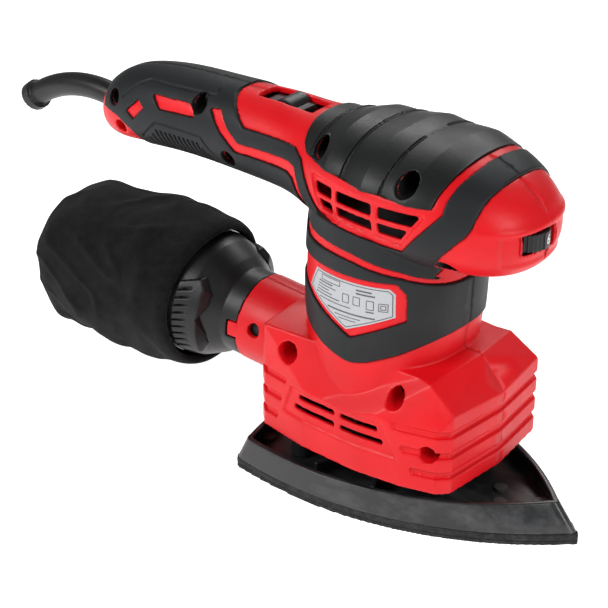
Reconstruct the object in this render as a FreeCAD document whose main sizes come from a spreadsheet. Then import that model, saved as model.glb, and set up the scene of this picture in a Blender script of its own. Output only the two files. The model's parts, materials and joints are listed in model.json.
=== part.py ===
"""Detail mouse sander: a clamshell motor housing on an orbiting iron-shaped platen.

Frame: origin on the motor axis at the sole, +X towards the pointed tip, -Y is the right
half of the housing, +Z up. All sizes are in millimetres.
"""
import FreeCAD
import Part
import math
import os
from FreeCAD import Placement, Rotation, Vector

SIZES = {
    "wall": 2.4,
    "overmould_depth": 1.2,
    "overmould_proud": 0.8,
    "split_gap": 0.05,
    "pad_tip": 83.0,
    "pad_rear": -55.0,
    "pad_corner_rear": -47.0,
    "pad_half_width": 39.6,
    "hook_thickness": 1.5,
    "foam_thickness": 2.7,
    "platen_height": 10.5,
    "platen_floor": 3.6,
    "platen_rim": 2.2,
    "casing_bottom": 21.0,
    "casing_top": 66.0,
    "casing_wall": 2.6,
    "port_outer": 17.9,
    "port_bore": 15.4,
    "port_end": -64.5,
    "port_axis_z": 46.5,
    "port_tilt": 5.0,
    "eccentricity": 0.8,
    "shaft_radius": 4.0,
    "shaft_bottom": 22.0,
    "shaft_top": 119.0,
    "pin_radius": 4.0,
    "pin_bottom": 8.6,
    "counterweight_radius": 15.0,
    "counterweight_bottom": 17.4,
    "counterweight_height": 5.0,
    "running_gap": 0.03,
    "platen_bearing_outer": 11.0,
    "platen_bearing_bottom": 9.0,
    "platen_bearing_height": 7.0,
    "hub_wall": 3.0,
    "fan_radius": 26.0,
    "fan_bottom": 29.0,
    "fan_disc": 1.6,
    "fan_height": 10.0,
    "fan_hub": 8.0,
    "fan_blade": 1.6,
    "bearing_outer": 11.0,
    "bearing_height": 7.0,
    "lower_bearing_bottom": 49.0,
    "bracket_radius": 28.0,
    "bracket_bottom": 46.0,
    "bracket_height": 12.0,
    "bracket_plate": 2.5,
    "armature_radius": 15.6,
    "armature_bottom": 66.0,
    "armature_height": 26.0,
    "winding_radius": 13.4,
    "winding_height": 5.0,
    "field_inner": 16.2,
    "field_outer": 27.6,
    "field_height": 25.0,
    "commutator_radius": 9.5,
    "commutator_bottom": 98.0,
    "commutator_height": 11.0,
    "upper_bearing_outer": 8.0,
    "upper_bearing_bottom": 112.0,
    "upper_bearing_height": 5.0,
    "bearing_cup_wall": 2.0,
    "brush_width": 5.0,
    "brush_length": 9.0,
    "holder_wall": 1.2,
    "holder_length": 11.0,
    "cover_bottom": 24.0,
    "cover_thickness": 2.0,
    "cover_opening": 17.0,
    "post_radius": 4.5,
    "dial_radius": 9.5,
    "dial_height": 6.4,
    "dial_centre_x": 53.2,
    "dial_centre_y": -4.0,
    "dial_bottom": 114.8,
    "dial_bore": 2.0,
    "slider_length": 18.0,
    "slider_width": 11.0,
    "slider_start": -61.0,
    "slider_z": 138.6,
    "saddle_radius": 4.6,
    "guard_radius": 4.9,
    "guard_bore": 3.2,
    "guard_bead": 6.3,
    "sleeve_radius": 17.6,
    "spigot_radius": 15.1,
}

doc = FreeCAD.newDocument("detail_sander")
sheet = doc.addObject("Spreadsheet::Sheet", "Sizes")
for row, (alias, value) in enumerate(SIZES.items(), start=1):
    sheet.set("A%d" % row, alias)
    sheet.set("B%d" % row, str(value))
    sheet.setAlias("B%d" % row, alias)
doc.recompute()

pieces = {}


def size(alias):
    """A driving dimension, read from the sheet."""
    return float(sheet.get(alias))


def keep(item, label):
    """Give a finished sub-part the name of its node."""
    item.Label = label
    pieces[label] = item
    return item


def keep_shape(label, shape):
    """A sub-part whose shape is worked out by the functions of this file."""
    item = doc.addObject("Part::Feature", "Computed_" + label)
    item.Shape = shape
    item.Placement = Placement()
    return keep(item, label)


def bind(item, **sizes):
    """Tie properties of an item to expressions over the sheet."""
    for name, text in sizes.items():
        item.setExpression(name.replace("__", "."), text)
    return item


def cylinder(name, radius, height, bottom):
    """An upright cylinder on the motor axis."""
    item = doc.addObject("Part::Cylinder", name)
    return bind(item, Radius=radius, Height=height, Placement__Base__z=bottom)


def cut(name, base, tool):
    item = doc.addObject("Part::Cut", name)
    item.Base = base
    item.Tool = tool
    return item


def fuse(name, parts):
    item = doc.addObject("Part::MultiFuse", name)
    item.Shapes = parts
    return item


def tube(label, outer, inner, height, bottom):
    """A ring on the motor axis."""
    body = cylinder(label + "_outer", outer, height, bottom)
    bore = cylinder(label + "_bore", inner, height, bottom)
    return keep(cut(label + "_ring", body, bore), label)


# ---------------------------------------------------------------- outlines and sections

# The handle and head, as sections across X: x, top, bottom, half width, roundness.
HEAD_SECTIONS = [
    (-140.5, 123.5, 115.0, 4.5, 2.0),
    (-139.0, 128.2, 111.6, 9.0, 2.0),
    (-135.0, 132.6, 109.2, 12.8, 2.1),
    (-128.0, 137.0, 108.4, 15.6, 2.2),
    (-118.0, 139.8, 109.2, 17.0, 2.2),
    (-104.0, 141.6, 110.4, 17.5, 2.2),
    (-88.0, 142.2, 110.8, 17.6, 2.2),
    (-68.0, 142.6, 110.2, 18.2, 2.2),
    (-50.0, 142.8, 109.4, 19.4, 2.2),
    (-38.0, 142.0, 108.2, 21.5, 2.2),
    (-26.0, 142.8, 105.0, 25.5, 2.2),
    (-12.0, 144.6, 103.5, 30.5, 2.3),
    (4.0, 145.2, 102.0, 33.6, 2.3),
    (20.0, 144.6, 101.0, 33.8, 2.3),
    (34.0, 142.0, 100.5, 31.2, 2.3),
    (46.0, 137.6, 101.0, 26.4, 2.3),
    (54.0, 132.6, 103.5, 21.5, 2.25),
    (59.0, 127.8, 107.0, 15.5, 2.2),
    (61.6, 123.2, 111.5, 9.0, 2.1),
    (62.6, 120.0, 115.0, 3.5, 2.0),
]
# The waist, as level sections: z, half length, half width, roundness.
WAIST_CENTRE_X = -0.9
WAIST_SECTIONS = [
    (40.0, 32.0, 33.4, 2.1),
    (66.0, 31.2, 33.0, 2.1),
    (80.0, 32.0, 33.2, 2.15),
    (92.0, 32.2, 33.0, 2.15),
    (104.0, 32.0, 32.0, 2.15),
    (114.0, 31.0, 31.0, 2.15),
]
# The casing's plan, near half, from the rear to the front; x, distance from the mid-plane.
CASING_PLAN = [
    (-44.0, 0.0), (-43.0, 27.0), (-38.5, 31.6), (-17.0, 36.2), (8.0, 37.8), (28.0, 36.0),
    (41.0, 32.6), (45.0, 28.8), (48.0, 0.0),
]
# The planes of the casing's shoulders on the right half: a point, then the rise along X and Y.
LEDGE = (38.0, 0.0, 63.9, -0.05, 0.11)
FRONT_CHEVRON = (33.6, -27.0, 61.0, 0.17, 1.04)
REAR_CHEVRON = (-9.9, -32.0, 55.2, -0.276, 2.62)
CORNER = (33.6, -27.0, 61.0, -0.44, 2.08)
NOSE_UPPER = (38.0, 0.0, 63.6, -0.68, 0.207)
NOSE_LOWER = (47.2, 0.0, 52.3, -1.23, 0.082)

# Side-view outlines in x, z.
OVERMOULD = [
    (-137.5, 150.0), (-137.0, 134.0), (-133.8, 128.6), (-133.2, 123.8), (-124.4, 122.3),
    (-118.0, 118.5), (-113.0, 112.0), (-110.0, 96.0), (-40.0, 96.0), (-40.0, 76.5),
    (-22.0, 70.0), (-11.2, 65.8), (-0.6, 62.9), (3.0, 62.7), (8.2, 63.9), (18.8, 68.1),
    (28.2, 73.0), (36.0, 76.8), (36.0, 92.0), (27.0, 98.6), (31.2, 106.4), (36.1, 112.9),
    (41.7, 119.1), (44.7, 122.3), (46.1, 125.3), (46.8, 129.9), (47.2, 133.4), (48.2, 136.4),
    (48.6, 150.0),
]
STRIPE = [
    (-77.3, 136.2), (-71.0, 129.0), (-63.3, 122.7), (-35.8, 123.7), (-32.3, 122.0),
    (-27.2, 105.5), (-22.0, 103.4), (-8.9, 103.1), (1.6, 102.0), (18.8, 98.6), (28.5, 95.0),
    (40.0, 90.0), (40.0, 92.6), (27.0, 97.8), (18.6, 101.2), (1.3, 105.2), (-9.2, 106.4),
    (-20.0, 107.2), (-24.3, 109.0), (-30.8, 127.0), (-34.5, 128.1), (-61.2, 126.8),
    (-67.3, 131.3), (-71.9, 136.6),
]
TOP_FRAME = [
    (-71.6, 150.0), (-70.8, 142.0), (-67.6, 139.2), (-63.4, 136.0), (-59.6, 133.1),
    (-38.6, 133.4), (-32.9, 133.2), (-28.0, 130.8), (-25.4, 127.0), (-21.0, 120.0),
    (-17.5, 114.4), (-10.5, 113.8), (0.1, 112.5), (12.2, 111.0), (21.6, 111.2),
    (36.5, 128.6), (36.7, 133.2), (37.4, 136.8), (38.8, 140.2), (39.2, 150.0),
]
PALM_CAP = [
    (-32.6, 150.0), (-31.8, 141.8), (-30.4, 138.7), (-28.8, 135.8), (-25.8, 133.4),
    (-20.9, 132.8), (-12.3, 132.2), (-5.0, 131.6), (4.5, 131.0), (12.4, 130.6),
    (23.4, 130.2), (32.4, 129.9), (33.2, 134.5), (34.4, 138.6), (35.4, 141.6), (35.8, 150.0),
]
PLATE_FRAME = [
    (-40.0, 97.2), (18.1, 96.6), (21.2, 92.5), (21.4, 82.0), (2.0, 72.6), (-24.0, 86.0),
    (-40.0, 89.0),
]
PLATE = [(-15.3, 94.5), (15.8, 94.3), (17.7, 92.4), (17.9, 83.4), (0.1, 75.3), (-19.5, 85.8)]
INLAYS = [
    [(-119.0, 125.8), (-112.7, 131.5), (-109.4, 129.0), (-115.2, 123.0)],
    [(-106.2, 135.0), (-87.3, 135.6), (-83.0, 131.2), (-101.5, 130.2)],
]
GRILLE = [(-20.9, 129.0), (31.2, 127.4), (21.2, 113.2), (0.0, 114.6), (-16.6, 116.6)]
GRILLE_ROWS = [(122.2, 126.4), (116.2, 120.4)]
GRILLE_BARS = [(-9.6, -7.2), (9.4, 12.0)]
SWITCH_OPENING = (-62.0, -36.0, 6.2)
DIAL_WINDOW = (54.0, -13.5, 114.4, 70.0, 3.6, 121.6)

# Screw holes from the right side: x, z, radius of the counterbore.
HANDLE_HOLES = [(-126.6, 129.0, 3.1), (-83.0, 136.2, 3.5), (-67.5, 118.6, 3.3)]
TAIL_HOLE = (-123.8, 117.4, 2.7)
HEAD_HOLES = [(-19.6, 137.0, 3.4), (21.8, 135.6, 4.1), (36.0, 106.8, 3.6)]
CASING_HOLES = [(-26.6, 56.4, 4.2), (21.8, 53.6, 3.6), (37.4, 36.6, 3.4)]
PORT_HOLE = (-55.8, 49.6, 2.8)
SCREW_HOLES = HANDLE_HOLES + [TAIL_HOLE] + HEAD_HOLES + CASING_HOLES
SCREW_CORE = 1.4
HEAD_SEAT_Y = -6.5

PLATE_DEPTH = 0.7
GRILLE_DEPTH = 1.0

# The casing's ribs and vents: groove heights, then each vent row's height and its two ends.
RIB_GROOVES = (28.4, 36.8, 45.2)
RIB_GROOVE_HALF = 1.4
RIB_GROOVE_DEPTH = 1.3
VENT_ROWS = [(41.0, -19.6, 17.2), (36.2, -22.0, 19.6)]
VENT_GAP = (-2.0, 0.6)
VENT_HALF = 1.1
VENT_SLANT = 0.22

# The palm cap's valleys: x at the crown and x at the lower edge.
CAP_VALLEYS = [(-24.0, -24.0), (-5.3, -5.3), (14.5, 12.3)]
CAP_VALLEY_HALF = 0.3
CAP_VALLEY_DEPTH = 0.55

# The adapter's finger grips in side view, x and height from the bag's middle.
GRIP_OUTLINE = [
    (-89.7, -15.0), (-80.0, -15.0), (-76.6, -9.0), (-79.0, 2.0), (-74.6, 9.0), (-80.0, 17.0),
    (-89.7, 15.0),
]
GRIP_NOTCH_PITCH = 3.1

# The bag's sections along X: x, centre height, half width, half height.
BAG_SECTIONS = [
    (-90.0, 48.8, 28.4, 28.4),
    (-94.0, 49.2, 30.4, 30.4),
    (-106.0, 50.2, 31.2, 30.8),
    (-126.0, 51.6, 30.8, 30.0),
    (-150.0, 52.0, 30.0, 28.6),
    (-166.0, 51.4, 27.5, 25.6),
    (-175.0, 50.6, 21.5, 19.5),
    (-178.5, 50.2, 12.0, 11.0),
]
CLOTH = 1.6

# The cord's bend protector: the middle line it follows, and its flange inside the tail.
GUARD_ARC = [(-133.0, 119.4), (-163.0, 121.6), (-188.0, 110.2)]
GUARD_FLANGE = (-132.9, 119.3, 7.0, 2.4)

# Rivets in the platen: x, y.
RIVETS = [(47.3, 3.4), (52.2, -5.0), (64.3, 4.6), (-44.0, 22.0), (-44.0, -22.0)]
RIVET_RADIUS = 2.6
RIVET_HEIGHT = 1.1


def closed_curve(points):
    curve = Part.BSplineCurve()
    curve.interpolate(Points=points, PeriodicFlag=True)
    return Part.Wire([curve.toShape()])


def rounded_ring(centre, across, up, power, steps=16):
    """A closed superellipse about a centre, spanned by two half-axis vectors."""
    points = []
    for step in range(steps):
        angle = 2 * math.pi * step / steps
        c, s = math.cos(angle), math.sin(angle)
        u = math.copysign(abs(c) ** (2 / power), c)
        v = math.copysign(abs(s) ** (2 / power), s)
        points.append(centre + across * u + up * v)
    return closed_curve(points)


def upper_body(offset):
    """The handle and head as one solid, grown by offset or shrunk if it is negative."""
    rows = [row for row in HEAD_SECTIONS if row[3] > 3 - 2 * offset]
    wires = []
    for index, (x, top, bottom, half, power) in enumerate(rows):
        if index == 0:
            x -= offset
        if index == len(rows) - 1:
            x += offset
        centre = Vector(x, 0, (top + bottom) / 2)
        rise = Vector(0, 0, (top - bottom) / 2 + offset)
        wires.append(rounded_ring(centre, Vector(0, half + offset, 0), rise, power))
    return Part.makeLoft(wires, True, False)


def waist_body(offset):
    wires = []
    for z, half_length, half_width, power in WAIST_SECTIONS:
        across = Vector(half_length + offset, 0, 0)
        along = Vector(0, half_width + offset, 0)
        wires.append(rounded_ring(Vector(WAIST_CENTRE_X, 0, z), across, along, power))
    return Part.makeLoft(wires, True, False)


def side_prism(outline, near=-60.0, far=0.0):
    """The solid behind a side-view outline, between two distances along Y."""
    points = [Vector(x, near, z) for x, z in outline]
    face = Part.Face(Part.makePolygon(points + points[:1]))
    return face.extrude(Vector(0, far - near, 0))


def box(x0, y0, z0, x1, y1, z1):
    return Part.makeBox(x1 - x0, y1 - y0, z1 - z0, Vector(x0, y0, z0))


def across_y(radius, x, z, y0, y1):
    """A cylinder lying along Y."""
    return Part.makeCylinder(radius, y1 - y0, Vector(x, y0, z), Vector(0, 1, 0))


def upright(radius, z0, z1, x=0.0, y=0.0):
    return Part.makeCylinder(radius, z1 - z0, Vector(x, y, z0))


# ------------------------------------------------------------------------- the casing

def plan_face(plan, z):
    near = [Vector(x, -y, z) for x, y in plan]
    far = [Vector(x, y, z) for x, y in reversed(plan[1:-1])]
    return Part.Face(Part.makePolygon(near + far + near[:1]))


def scaled_plan(inset):
    """The casing's plan drawn inwards."""
    length = CASING_PLAN[-1][0] - CASING_PLAN[0][0]
    half = max(y for x, y in CASING_PLAN)
    centre = (CASING_PLAN[-1][0] + CASING_PLAN[0][0]) / 2
    along = 1 - 2 * inset / length
    across = 1 - inset / half
    return [(centre + (x - centre) * along, y * across) for x, y in CASING_PLAN]


def above(facet, side, inset):
    """The space above a shoulder plane, which is lowered by inset along its normal."""
    x, y, z, rise_x, rise_y = facet
    normal = Vector(-rise_x, rise_y * side, 1).normalize()
    block = Part.makeBox(300, 300, 80, Vector(-150, -150, 0))
    where = Vector(x, -y * side, z) - normal * inset
    block.Placement = Placement(where, Rotation(Vector(0, 0, 1), normal))
    return block


def casing_body(inset):
    """The faceted lower casing, drawn inwards by inset."""
    bottom = size("casing_bottom")
    start = bottom if inset == 0 else bottom - 1
    height = size("casing_top") - inset - start
    body = plan_face(scaled_plan(inset), start).extrude(Vector(0, 0, height))
    for side in (1, -1):
        half = box(-60, min(0, 60 * side), 0, 60, max(0, 60 * side), 100)
        chevron = above(FRONT_CHEVRON, side, inset).common(above(REAR_CHEVRON, side, inset))
        cuts = [chevron.common(half)]
        for facet in (LEDGE, CORNER, NOSE_UPPER, NOSE_LOWER):
            cuts.append(above(facet, side, inset).common(half))
        body = body.cut(cuts)
    rear = [(-43.6 + inset, 55.0), (-38.0 + inset, 67.0), (-60.0, 70.0), (-60.0, 55.0)]
    body = body.cut(side_prism(rear, -60, 60))
    return body


def port_cylinder(radius, start, end):
    """A cylinder on the dust port's axis; start and end are distances back along it."""
    tilt = math.radians(size("port_tilt"))
    back = Vector(-math.cos(tilt), 0, math.sin(tilt))
    mouth = Vector(size("port_end"), 0, size("port_axis_z"))
    return Part.makeCylinder(radius, end - start, mouth + back * start, back)


def port_revolve(profile):
    """Turn a closed profile of (distance back, radius) about the dust port's axis."""
    tilt = math.radians(size("port_tilt"))
    back = Vector(-math.cos(tilt), 0, math.sin(tilt))
    out = Vector(math.sin(tilt), 0, math.cos(tilt))
    mouth = Vector(size("port_end"), 0, size("port_axis_z"))
    points = [mouth + back * along + out * radius for along, radius in profile]
    face = Part.Face(Part.makePolygon(points + points[:1]))
    return face.revolve(mouth, back, 360)


def rib_grooves():
    """The level grooves that leave four ribs round the casing's front and rear corners."""
    front = [(21.5, 49.0), (34.5, 22.0), (60.0, 22.0), (60.0, 49.0)]
    rear = [(-60.0, 49.0), (-25.0, 49.0), (-32.5, 22.0), (-60.0, 22.0)]
    zones = side_prism(front, -60, 60).fuse(side_prism(rear, -60, 60))
    grooves = []
    rise = Vector(0, 0, 2 * RIB_GROOVE_HALF)
    for z in RIB_GROOVES:
        outer = plan_face(scaled_plan(-6.0), z - RIB_GROOVE_HALF).extrude(rise)
        inner = plan_face(scaled_plan(RIB_GROOVE_DEPTH), z - RIB_GROOVE_HALF).extrude(rise)
        grooves.append(outer.cut(inner).common(zones))
    return grooves


def casing_vents():
    """Two rows of two long slots in each side, inside a shallow sunk field."""
    field = [(-23.4, 44.4), (19.6, 44.4), (26.0, 31.6), (-28.0, 31.6)]
    face = plan_face(scaled_plan(0.9), 20).extrude(Vector(0, 0, 40))
    tools = [side_prism(field, -60, 60).cut(face)]
    core = box(-60, -28, 0, 60, 28, 80)
    for z, left, right in VENT_ROWS:
        low, high = z - VENT_HALF, z + VENT_HALF
        for x0, x1 in ((left, VENT_GAP[0]), (VENT_GAP[1], right)):
            slot = [(x0 + VENT_SLANT, high), (x1 - VENT_SLANT, high), (x1, low), (x0, low)]
            tools.append(side_prism(slot, -60, 60).cut(core))
    return tools


# ------------------------------------------------------------------ housing and its skins

wall = size("wall")
outer_upper = upper_body(0)
outer_waist = waist_body(0)
outer_skin = outer_upper.fuse(outer_waist)
inner_skin = upper_body(-wall).fuse(waist_body(-wall))
pocket_skin = upper_body(-size("overmould_depth")).fuse(waist_body(-size("overmould_depth")))
proud_skin = upper_body(size("overmould_proud")).fuse(waist_body(size("overmould_proud")))

casing = casing_body(0).cut(rib_grooves() + casing_vents())
port_length = 34.0
outside = outer_skin.fuse([casing, port_cylinder(size("port_outer"), -port_length, 0)])
port_channel = port_cylinder(size("port_bore"), -port_length, 1)
inside = inner_skin.fuse([casing_body(size("casing_wall")), port_channel])

red_areas = [side_prism(outline, -60, 60) for outline in [STRIPE, TOP_FRAME, PLATE_FRAME] + INLAYS]
overmould = side_prism(OVERMOULD, -60, 60).cut(red_areas + [box(-60, -60, 0, 60, 60, 62.0)])
overmould_zone = overmould.cut(pocket_skin)
cap_zone = side_prism(PALM_CAP, -60, 60).cut(pocket_skin)


def grille_slots():
    """Two rows of three slanted slots through the sunk grille of each side."""
    margin = [(x * 0.93, 121.0 + (z - 121.0) * 0.9) for x, z in GRILLE]
    inner_grille = side_prism(margin, -60, 60)
    bars = [box(left, -60, 110, right, 60, 135) for left, right in GRILLE_BARS]
    core = box(-60, -20, 100, 60, 20, 140)
    rows = [box(-60, -60, low, 60, 60, high) for low, high in GRILLE_ROWS]
    return [row.common(inner_grille).cut(bars + [core]) for row in rows]


def guard_pipe(outer, inner, start=0.0, end=1.0):
    """A length of the bend protector that arches out of the tail, as a tube."""
    arc = Part.Arc(*[Vector(x, 0, z) for x, z in GUARD_ARC])
    first, last = arc.FirstParameter, arc.LastParameter
    near = first + (last - first) * start
    far = first + (last - first) * end
    path = Part.Wire([arc.toShape(near, far)])
    where = arc.value(near)
    along = arc.tangent(near)[0]
    ring = Part.Face(Part.Wire([Part.Circle(where, along, outer).toShape()]))
    if inner:
        ring = ring.cut(Part.Face(Part.Wire([Part.Circle(where, along, inner).toShape()])))
        ring = ring.Faces[0]
    return path.makePipe(ring)


slot_start, slot_end, slot_half = SWITCH_OPENING
plate_zone = side_prism(PLATE, -60, 0).cut(waist_body(-PLATE_DEPTH))
shell_cuts = [
    overmould_zone,
    cap_zone,
    side_prism(GRILLE, -60, 60).cut(upper_body(-GRILLE_DEPTH)),
    box(slot_start, -slot_half, 134.0, slot_end, slot_half, 150.0),
    box(*DIAL_WINDOW),
    plate_zone,
]
hole_x, hole_z, hole_radius = PORT_HOLE
port_holes = [across_y(hole_radius, hole_x, hole_z, start, start + 17) for start in (-25, 8)]
shell = outside.cut(inside).cut(shell_cuts + grille_slots() + port_holes)


def half_space(side):
    gap = size("split_gap") / 2
    if side < 0:
        return box(-220, -80, -10, 120, -gap, 200)
    return box(-220, gap, -10, 120, 80, 200)


def boss_posts(side):
    """The posts round the screws of one half."""
    near = -40.0 if side < 0 else 0.0
    return [across_y(radius + 1.5, x, z, near, near + 40.0) for x, z, radius in SCREW_HOLES]


def boss_drills(side):
    """Counterbores and clearance holes on the right, screw cores on the left."""
    drills = []
    for x, z, radius in SCREW_HOLES:
        if side < 0:
            drills.append(across_y(radius, x, z, -60, HEAD_SEAT_Y))
            drills.append(across_y(SCREW_CORE + 0.3, x, z, -10, 1))
        else:
            drills.append(across_y(SCREW_CORE, x, z, -1, 11))
    return drills


solid = outside.cut([overmould_zone, cap_zone, upright(29.0, 20.0, 112.0), plate_zone])
tunnel = guard_pipe(size("guard_radius") + 0.1, 0, 0.0, 0.4)
for name, side in (("right", -1), ("left", 1)):
    side_half = half_space(side)
    posts = Part.makeCompound(boss_posts(side)).common(solid.common(side_half))
    housing = shell.common(side_half).fuse(posts).cut(boss_drills(side) + [tunnel])
    keep_shape("housing_" + name, housing)

grip = proud_skin.common(overmould_zone)
counterbores = [across_y(radius, x, z, -60, 0) for x, z, radius in SCREW_HOLES]
keep_shape("grip_right", grip.common(half_space(-1)).cut(counterbores))
keep_shape("grip_left", grip.common(half_space(1)))

cap_grooves = []
cap_floor = upper_body(size("overmould_proud") - CAP_VALLEY_DEPTH)
for crown, edge in CAP_VALLEYS:
    valley = [
        (crown - CAP_VALLEY_HALF, 150.0), (crown + CAP_VALLEY_HALF, 150.0),
        (edge + CAP_VALLEY_HALF, 129.0), (edge - CAP_VALLEY_HALF, 129.0),
    ]
    cap_grooves.append(side_prism(valley, -60, 60).cut(cap_floor))
keep_shape("palm_cap", proud_skin.common(cap_zone).cut(counterbores + cap_grooves))
keep_shape("rating_plate", waist_body(-0.1).common(plate_zone))

# ------------------------------------------------------------------------ dust collection

lug = port_cylinder(17.2, -3.0, 4.4).cut(port_cylinder(15.6, -4.0, 5.0))
lug = lug.common(box(-80, -20, 43.6, -50, -14, 49.8))
keep_shape("latch_lug", lug.cut(port_cylinder(18.5, -3.5, 0.05)))

adapter = port_revolve([
    (-11.0, 13.2), (-11.0, size("spigot_radius")), (0.3, size("spigot_radius")),
    (0.3, size("sleeve_radius")), (8.0, size("sleeve_radius")), (12.0, 20.4), (20.0, 24.6),
    (27.0, 26.3), (28.0, 25.2), (34.0, 25.2), (34.0, 23.4), (27.0, 23.4), (19.0, 21.6),
    (11.0, 17.4), (6.0, 13.2),
])
notch = box(-80, -20, 42.8, -50, -14.4, 50.6).common(port_cylinder(30.0, -1.0, 5.2))
adapter = adapter.cut(notch.cut(port_cylinder(15.4, -2.0, 6.0)))
keep_shape("dust_adapter", adapter)

grip_band = port_revolve([
    (12.4, 20.9), (14.6, 25.2), (24.6, 27.8), (25.6, 26.04), (20.0, 24.66), (12.4, 20.67),
])
axis_z = size("port_axis_z") + 1.7
patch = [(x, axis_z + z) for x, z in GRIP_OUTLINE]
patches = grip_band.common(side_prism(patch, -40, 40))
steps = []
for step in range(-4, 5):
    z = axis_z + step * GRIP_NOTCH_PITCH
    notch_line = [(-91.0, z), (-82.2, z + 1.5), (-82.2, z + 0.6), (-91.0, z - 0.9)]
    steps.append(side_prism(notch_line, -40, 40).cut(port_cylinder(25.6, 8, 32)))
keep_shape("adapter_grips", patches.cut(steps))


def bag_body(inset):
    wires = []
    for x, z, half_width, half_height in BAG_SECTIONS:
        place = max(x, BAG_SECTIONS[-1][0] + inset)
        ring_across = Vector(0, half_width - inset, 0)
        ring_up = Vector(0, 0, half_height - inset)
        wires.append(rounded_ring(Vector(place, 0, z), ring_across, ring_up, 2.3))
    return Part.makeLoft(wires, True, False)


keep_shape("dust_bag", bag_body(0).cut([bag_body(CLOTH), port_cylinder(26.6, 15.0, 38.0)]))
keep_shape("bag_hoop", port_cylinder(26.4, 28.4, 31.4).cut(port_cylinder(25.3, 28.0, 32.0)))

# ---------------------------------------------------------------------- the tail and cord

guard = guard_pipe(size("guard_radius"), size("guard_bore"), 0.0, 1.0)
bead = guard_pipe(size("guard_bead"), size("guard_radius") - 0.2, 0.93, 1.0)
flange_x, flange_z, flange_radius, flange_width = GUARD_FLANGE
forward = Vector(1, 0, 0)
flange = Part.makeCylinder(flange_radius, flange_width, Vector(flange_x, 0, flange_z), forward)
flange_bore = Part.makeCylinder(size("guard_bore"), 4, Vector(flange_x - 0.6, 0, flange_z), forward)
keep_shape("cord_guard", guard.fuse([bead, flange.cut(flange_bore)]))


def plain_box(name, length, width, height, x, y, z):
    item = doc.addObject("Part::Box", name)
    item.Length = length
    item.Width = width
    item.Height = height
    item.Placement = Placement(Vector(x, y, z), Rotation())
    return item


keep(plain_box("Clamp", 7.0, 12.0, 3.0, -118.4, -6.0, 114.6), "cord_clamp")
clamp_screws = []
for index, y in enumerate((-4.6, 4.6)):
    head = doc.addObject("Part::Cylinder", "ClampHead%d" % index)
    head.Radius = 1.8
    head.Height = 1.4
    head.Placement = Placement(Vector(-114.9, y, 117.6), Rotation())
    clamp_screws.append(head)
keep(fuse("ClampScrews", clamp_screws), "clamp_screws")


def screw(x, z, radius):
    """A pan-head screw along +Y with a cross recess."""
    head_radius = min(radius - 0.25, 2.7)
    head = across_y(head_radius, x, z, HEAD_SEAT_Y - 2.0, HEAD_SEAT_Y)
    shank = across_y(SCREW_CORE - 0.03, x, z, HEAD_SEAT_Y, 9.0)
    reach = head_radius * 0.62
    slot = box(x - reach, HEAD_SEAT_Y - 2.1, z - 0.3, x + reach, HEAD_SEAT_Y - 1.1, z + 0.3)
    cross = box(x - 0.3, HEAD_SEAT_Y - 2.1, z - reach, x + 0.3, HEAD_SEAT_Y - 1.1, z + reach)
    return head.fuse(shank).cut([slot, cross])


screws = [screw(x, z, radius) for x, z, radius in SCREW_HOLES]
keep_shape("housing_screws", Part.makeCompound(screws))

# -------------------------------------------------------------------------- switch and dial

slab = doc.addObject("Part::Box", "SliderSlab")
bind(slab, Length="Sizes.slider_length", Width="Sizes.slider_width")
bind(slab, Placement__Base__x="Sizes.slider_start", Placement__Base__y="-Sizes.slider_width / 2")
bind(slab, Placement__Base__z="Sizes.slider_z - 2.2")
slab.Height = 3.4
saddle = doc.addObject("Part::Cylinder", "SliderSaddle")
saddle.Placement = Placement(Vector(0, 0, 0), Rotation(Vector(1, 0, 0), -90))
bind(saddle, Radius="Sizes.saddle_radius", Height="Sizes.slider_width")
bind(saddle, Placement__Base__x="Sizes.slider_start + Sizes.slider_length * 0.6")
bind(saddle, Placement__Base__y="-Sizes.slider_width / 2", Placement__Base__z="Sizes.slider_z - 0.2")
saddle_room = doc.addObject("Part::Box", "SaddleRoom")
saddle_room.Height = 12.0
bind(saddle_room, Length="Sizes.slider_length", Width="Sizes.slider_width")
bind(saddle_room, Placement__Base__x="Sizes.slider_start")
bind(saddle_room, Placement__Base__y="-Sizes.slider_width / 2", Placement__Base__z="Sizes.slider_z - 2.2")
saddle_top = doc.addObject("Part::Common", "SliderSaddleTop")
saddle_top.Base = saddle
saddle_top.Tool = saddle_room
keep(fuse("Slider", [slab, saddle_top]), "switch_slider")
keep(plain_box("Link", 2.4, 3.0, 3.6, -52.6, -1.5, 132.8), "switch_link")
tray_floor = plain_box("TrayFloor", 25.4, 11.8, 1.8, -61.7, -5.9, 134.3)
tray_slot = plain_box("TraySlot", 12.0, 4.0, 4.0, -54.2, -2.0, 133.5)
keep(cut("Tray", tray_floor, tray_slot), "switch_tray")
keep(plain_box("SwitchBody", 24.0, 13.0, 13.0, -61.0, -6.5, 119.6), "switch_body")

wheel = doc.addObject("Part::Cylinder", "DialWheel")
bind(wheel, Radius="Sizes.dial_radius", Height="Sizes.dial_height")
bind(wheel, Placement__Base__x="Sizes.dial_centre_x", Placement__Base__y="Sizes.dial_centre_y")
bind(wheel, Placement__Base__z="Sizes.dial_bottom")
bore = doc.addObject("Part::Cylinder", "DialBore")
bind(bore, Radius="Sizes.dial_bore + Sizes.running_gap", Height="Sizes.dial_height")
bind(bore, Placement__Base__x="Sizes.dial_centre_x", Placement__Base__y="Sizes.dial_centre_y")
bind(bore, Placement__Base__z="Sizes.dial_bottom")
notches = []
for step in range(36):
    angle = math.radians(step * 10)
    x = size("dial_centre_x") + size("dial_radius") * math.cos(angle)
    y = size("dial_centre_y") + size("dial_radius") * math.sin(angle)
    notches.append(upright(0.45, size("dial_bottom") - 1, size("dial_bottom") + 8, x, y))
doc.recompute()
keep_shape("speed_dial", wheel.Shape.cut([bore.Shape] + notches))
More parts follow.
